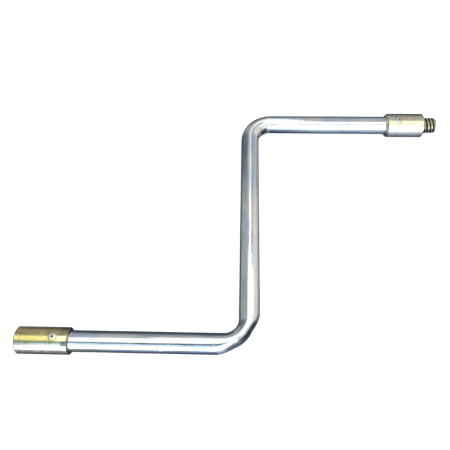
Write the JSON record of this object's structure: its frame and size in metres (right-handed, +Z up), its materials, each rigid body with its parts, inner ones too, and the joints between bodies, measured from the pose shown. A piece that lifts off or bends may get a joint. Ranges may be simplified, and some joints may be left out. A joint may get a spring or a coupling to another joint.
{
  "type": "rod turning handle",
  "caption": "Z-shaped crank of bent steel tube with a threaded brass socket ferrule on one arm and a threaded brass stud ferrule on the other, for turning screw-jointed rods.",
  "frame": {"origin": "under the middle of the handle lying flat: the middle of its length and width, at the height of the lowest rivet head", "axes": "+X along both arms from the socket's mouth to the stud's tip, +Y along the web from the socket arm to the stud arm, +Z up from the surface it lies on"},
  "size_m": [0.457, 0.3076, 0.0304],
  "materials": {
    "zinc_plated_steel": "bright zinc plate with a faint blue and yellow passivation tint, drawn tube, light handling scratches",
    "socket_brass": "turned, bright, slightly tarnished",
    "stud_brass": "turned, bright, darker in the thread",
    "rivet_steel": "bright, hammered, with a dark dimple"
  },
  "bodies": {
    "root": {"crank_tube": "zinc_plated_steel", "socket_ferrule": "socket_brass", "stud_ferrule": "stud_brass", "socket_ferrule_rivet": "rivet_steel", "stud_ferrule_rivet": "rivet_steel"}
  },
  "joints": []
}
